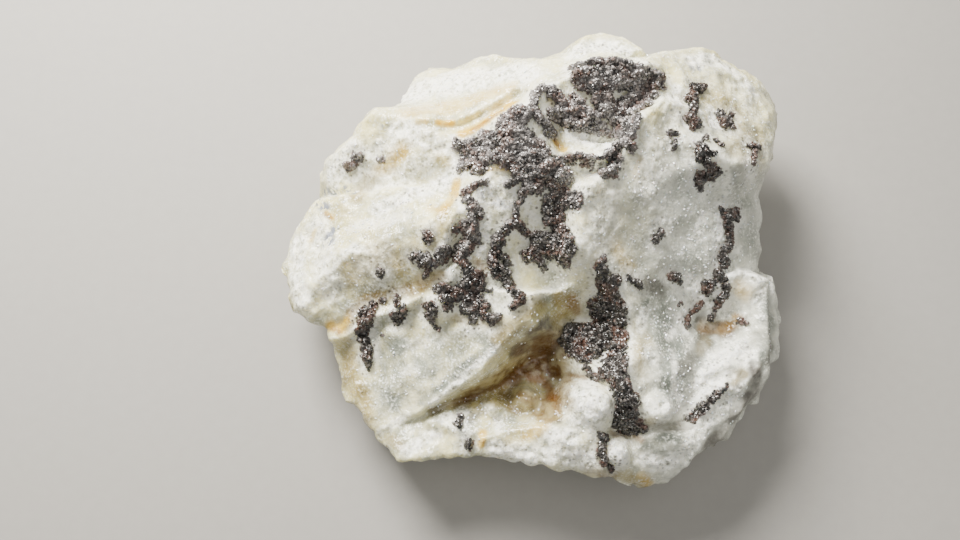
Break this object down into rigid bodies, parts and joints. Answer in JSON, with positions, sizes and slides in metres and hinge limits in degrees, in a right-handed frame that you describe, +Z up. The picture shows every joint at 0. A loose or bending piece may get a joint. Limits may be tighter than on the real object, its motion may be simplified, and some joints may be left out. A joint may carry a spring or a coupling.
{
  "type": "mineral specimen",
  "caption": "Broken lump of milky quartz with dark brown crusts of sphalerite on its upper side, resting on a flat underside.",
  "frame": {"origin": "centre of the bounding box at the level of the flat underside", "axes": "+X to the right of the picture along the longest extent, +Y away from the viewer, +Z up"},
  "size_m": [0.0621, 0.0561, 0.0281],
  "materials": {
    "quartz": "greasy to sugary, milky",
    "sphalerite": "dark, resinous, many small facets"
  },
  "bodies": {
    "root": {"quartz": "quartz", "sphalerite_main": "sphalerite", "sphalerite_streak": "sphalerite", "sphalerite_fissure": "sphalerite", "sphalerite_right_1": "sphalerite", "sphalerite_right_2": "sphalerite", "sphalerite_right_3": "sphalerite", "sphalerite_right_4": "sphalerite", "sphalerite_right_5": "sphalerite", "sphalerite_right_7": "sphalerite", "sphalerite_right_8": "sphalerite", "sphalerite_right_9": "sphalerite", "sphalerite_right_10": "sphalerite", "sphalerite_right_11": "sphalerite", "sphalerite_right_12": "sphalerite", "sphalerite_right_13": "sphalerite", "sphalerite_right_14": "sphalerite", "sphalerite_left_1": "sphalerite", "sphalerite_left_2": "sphalerite", "sphalerite_left_3": "sphalerite", "sphalerite_left_4": "sphalerite", "sphalerite_left_5": "sphalerite", "sphalerite_left_6": "sphalerite", "sphalerite_left_7": "sphalerite"}
  },
  "joints": []
}
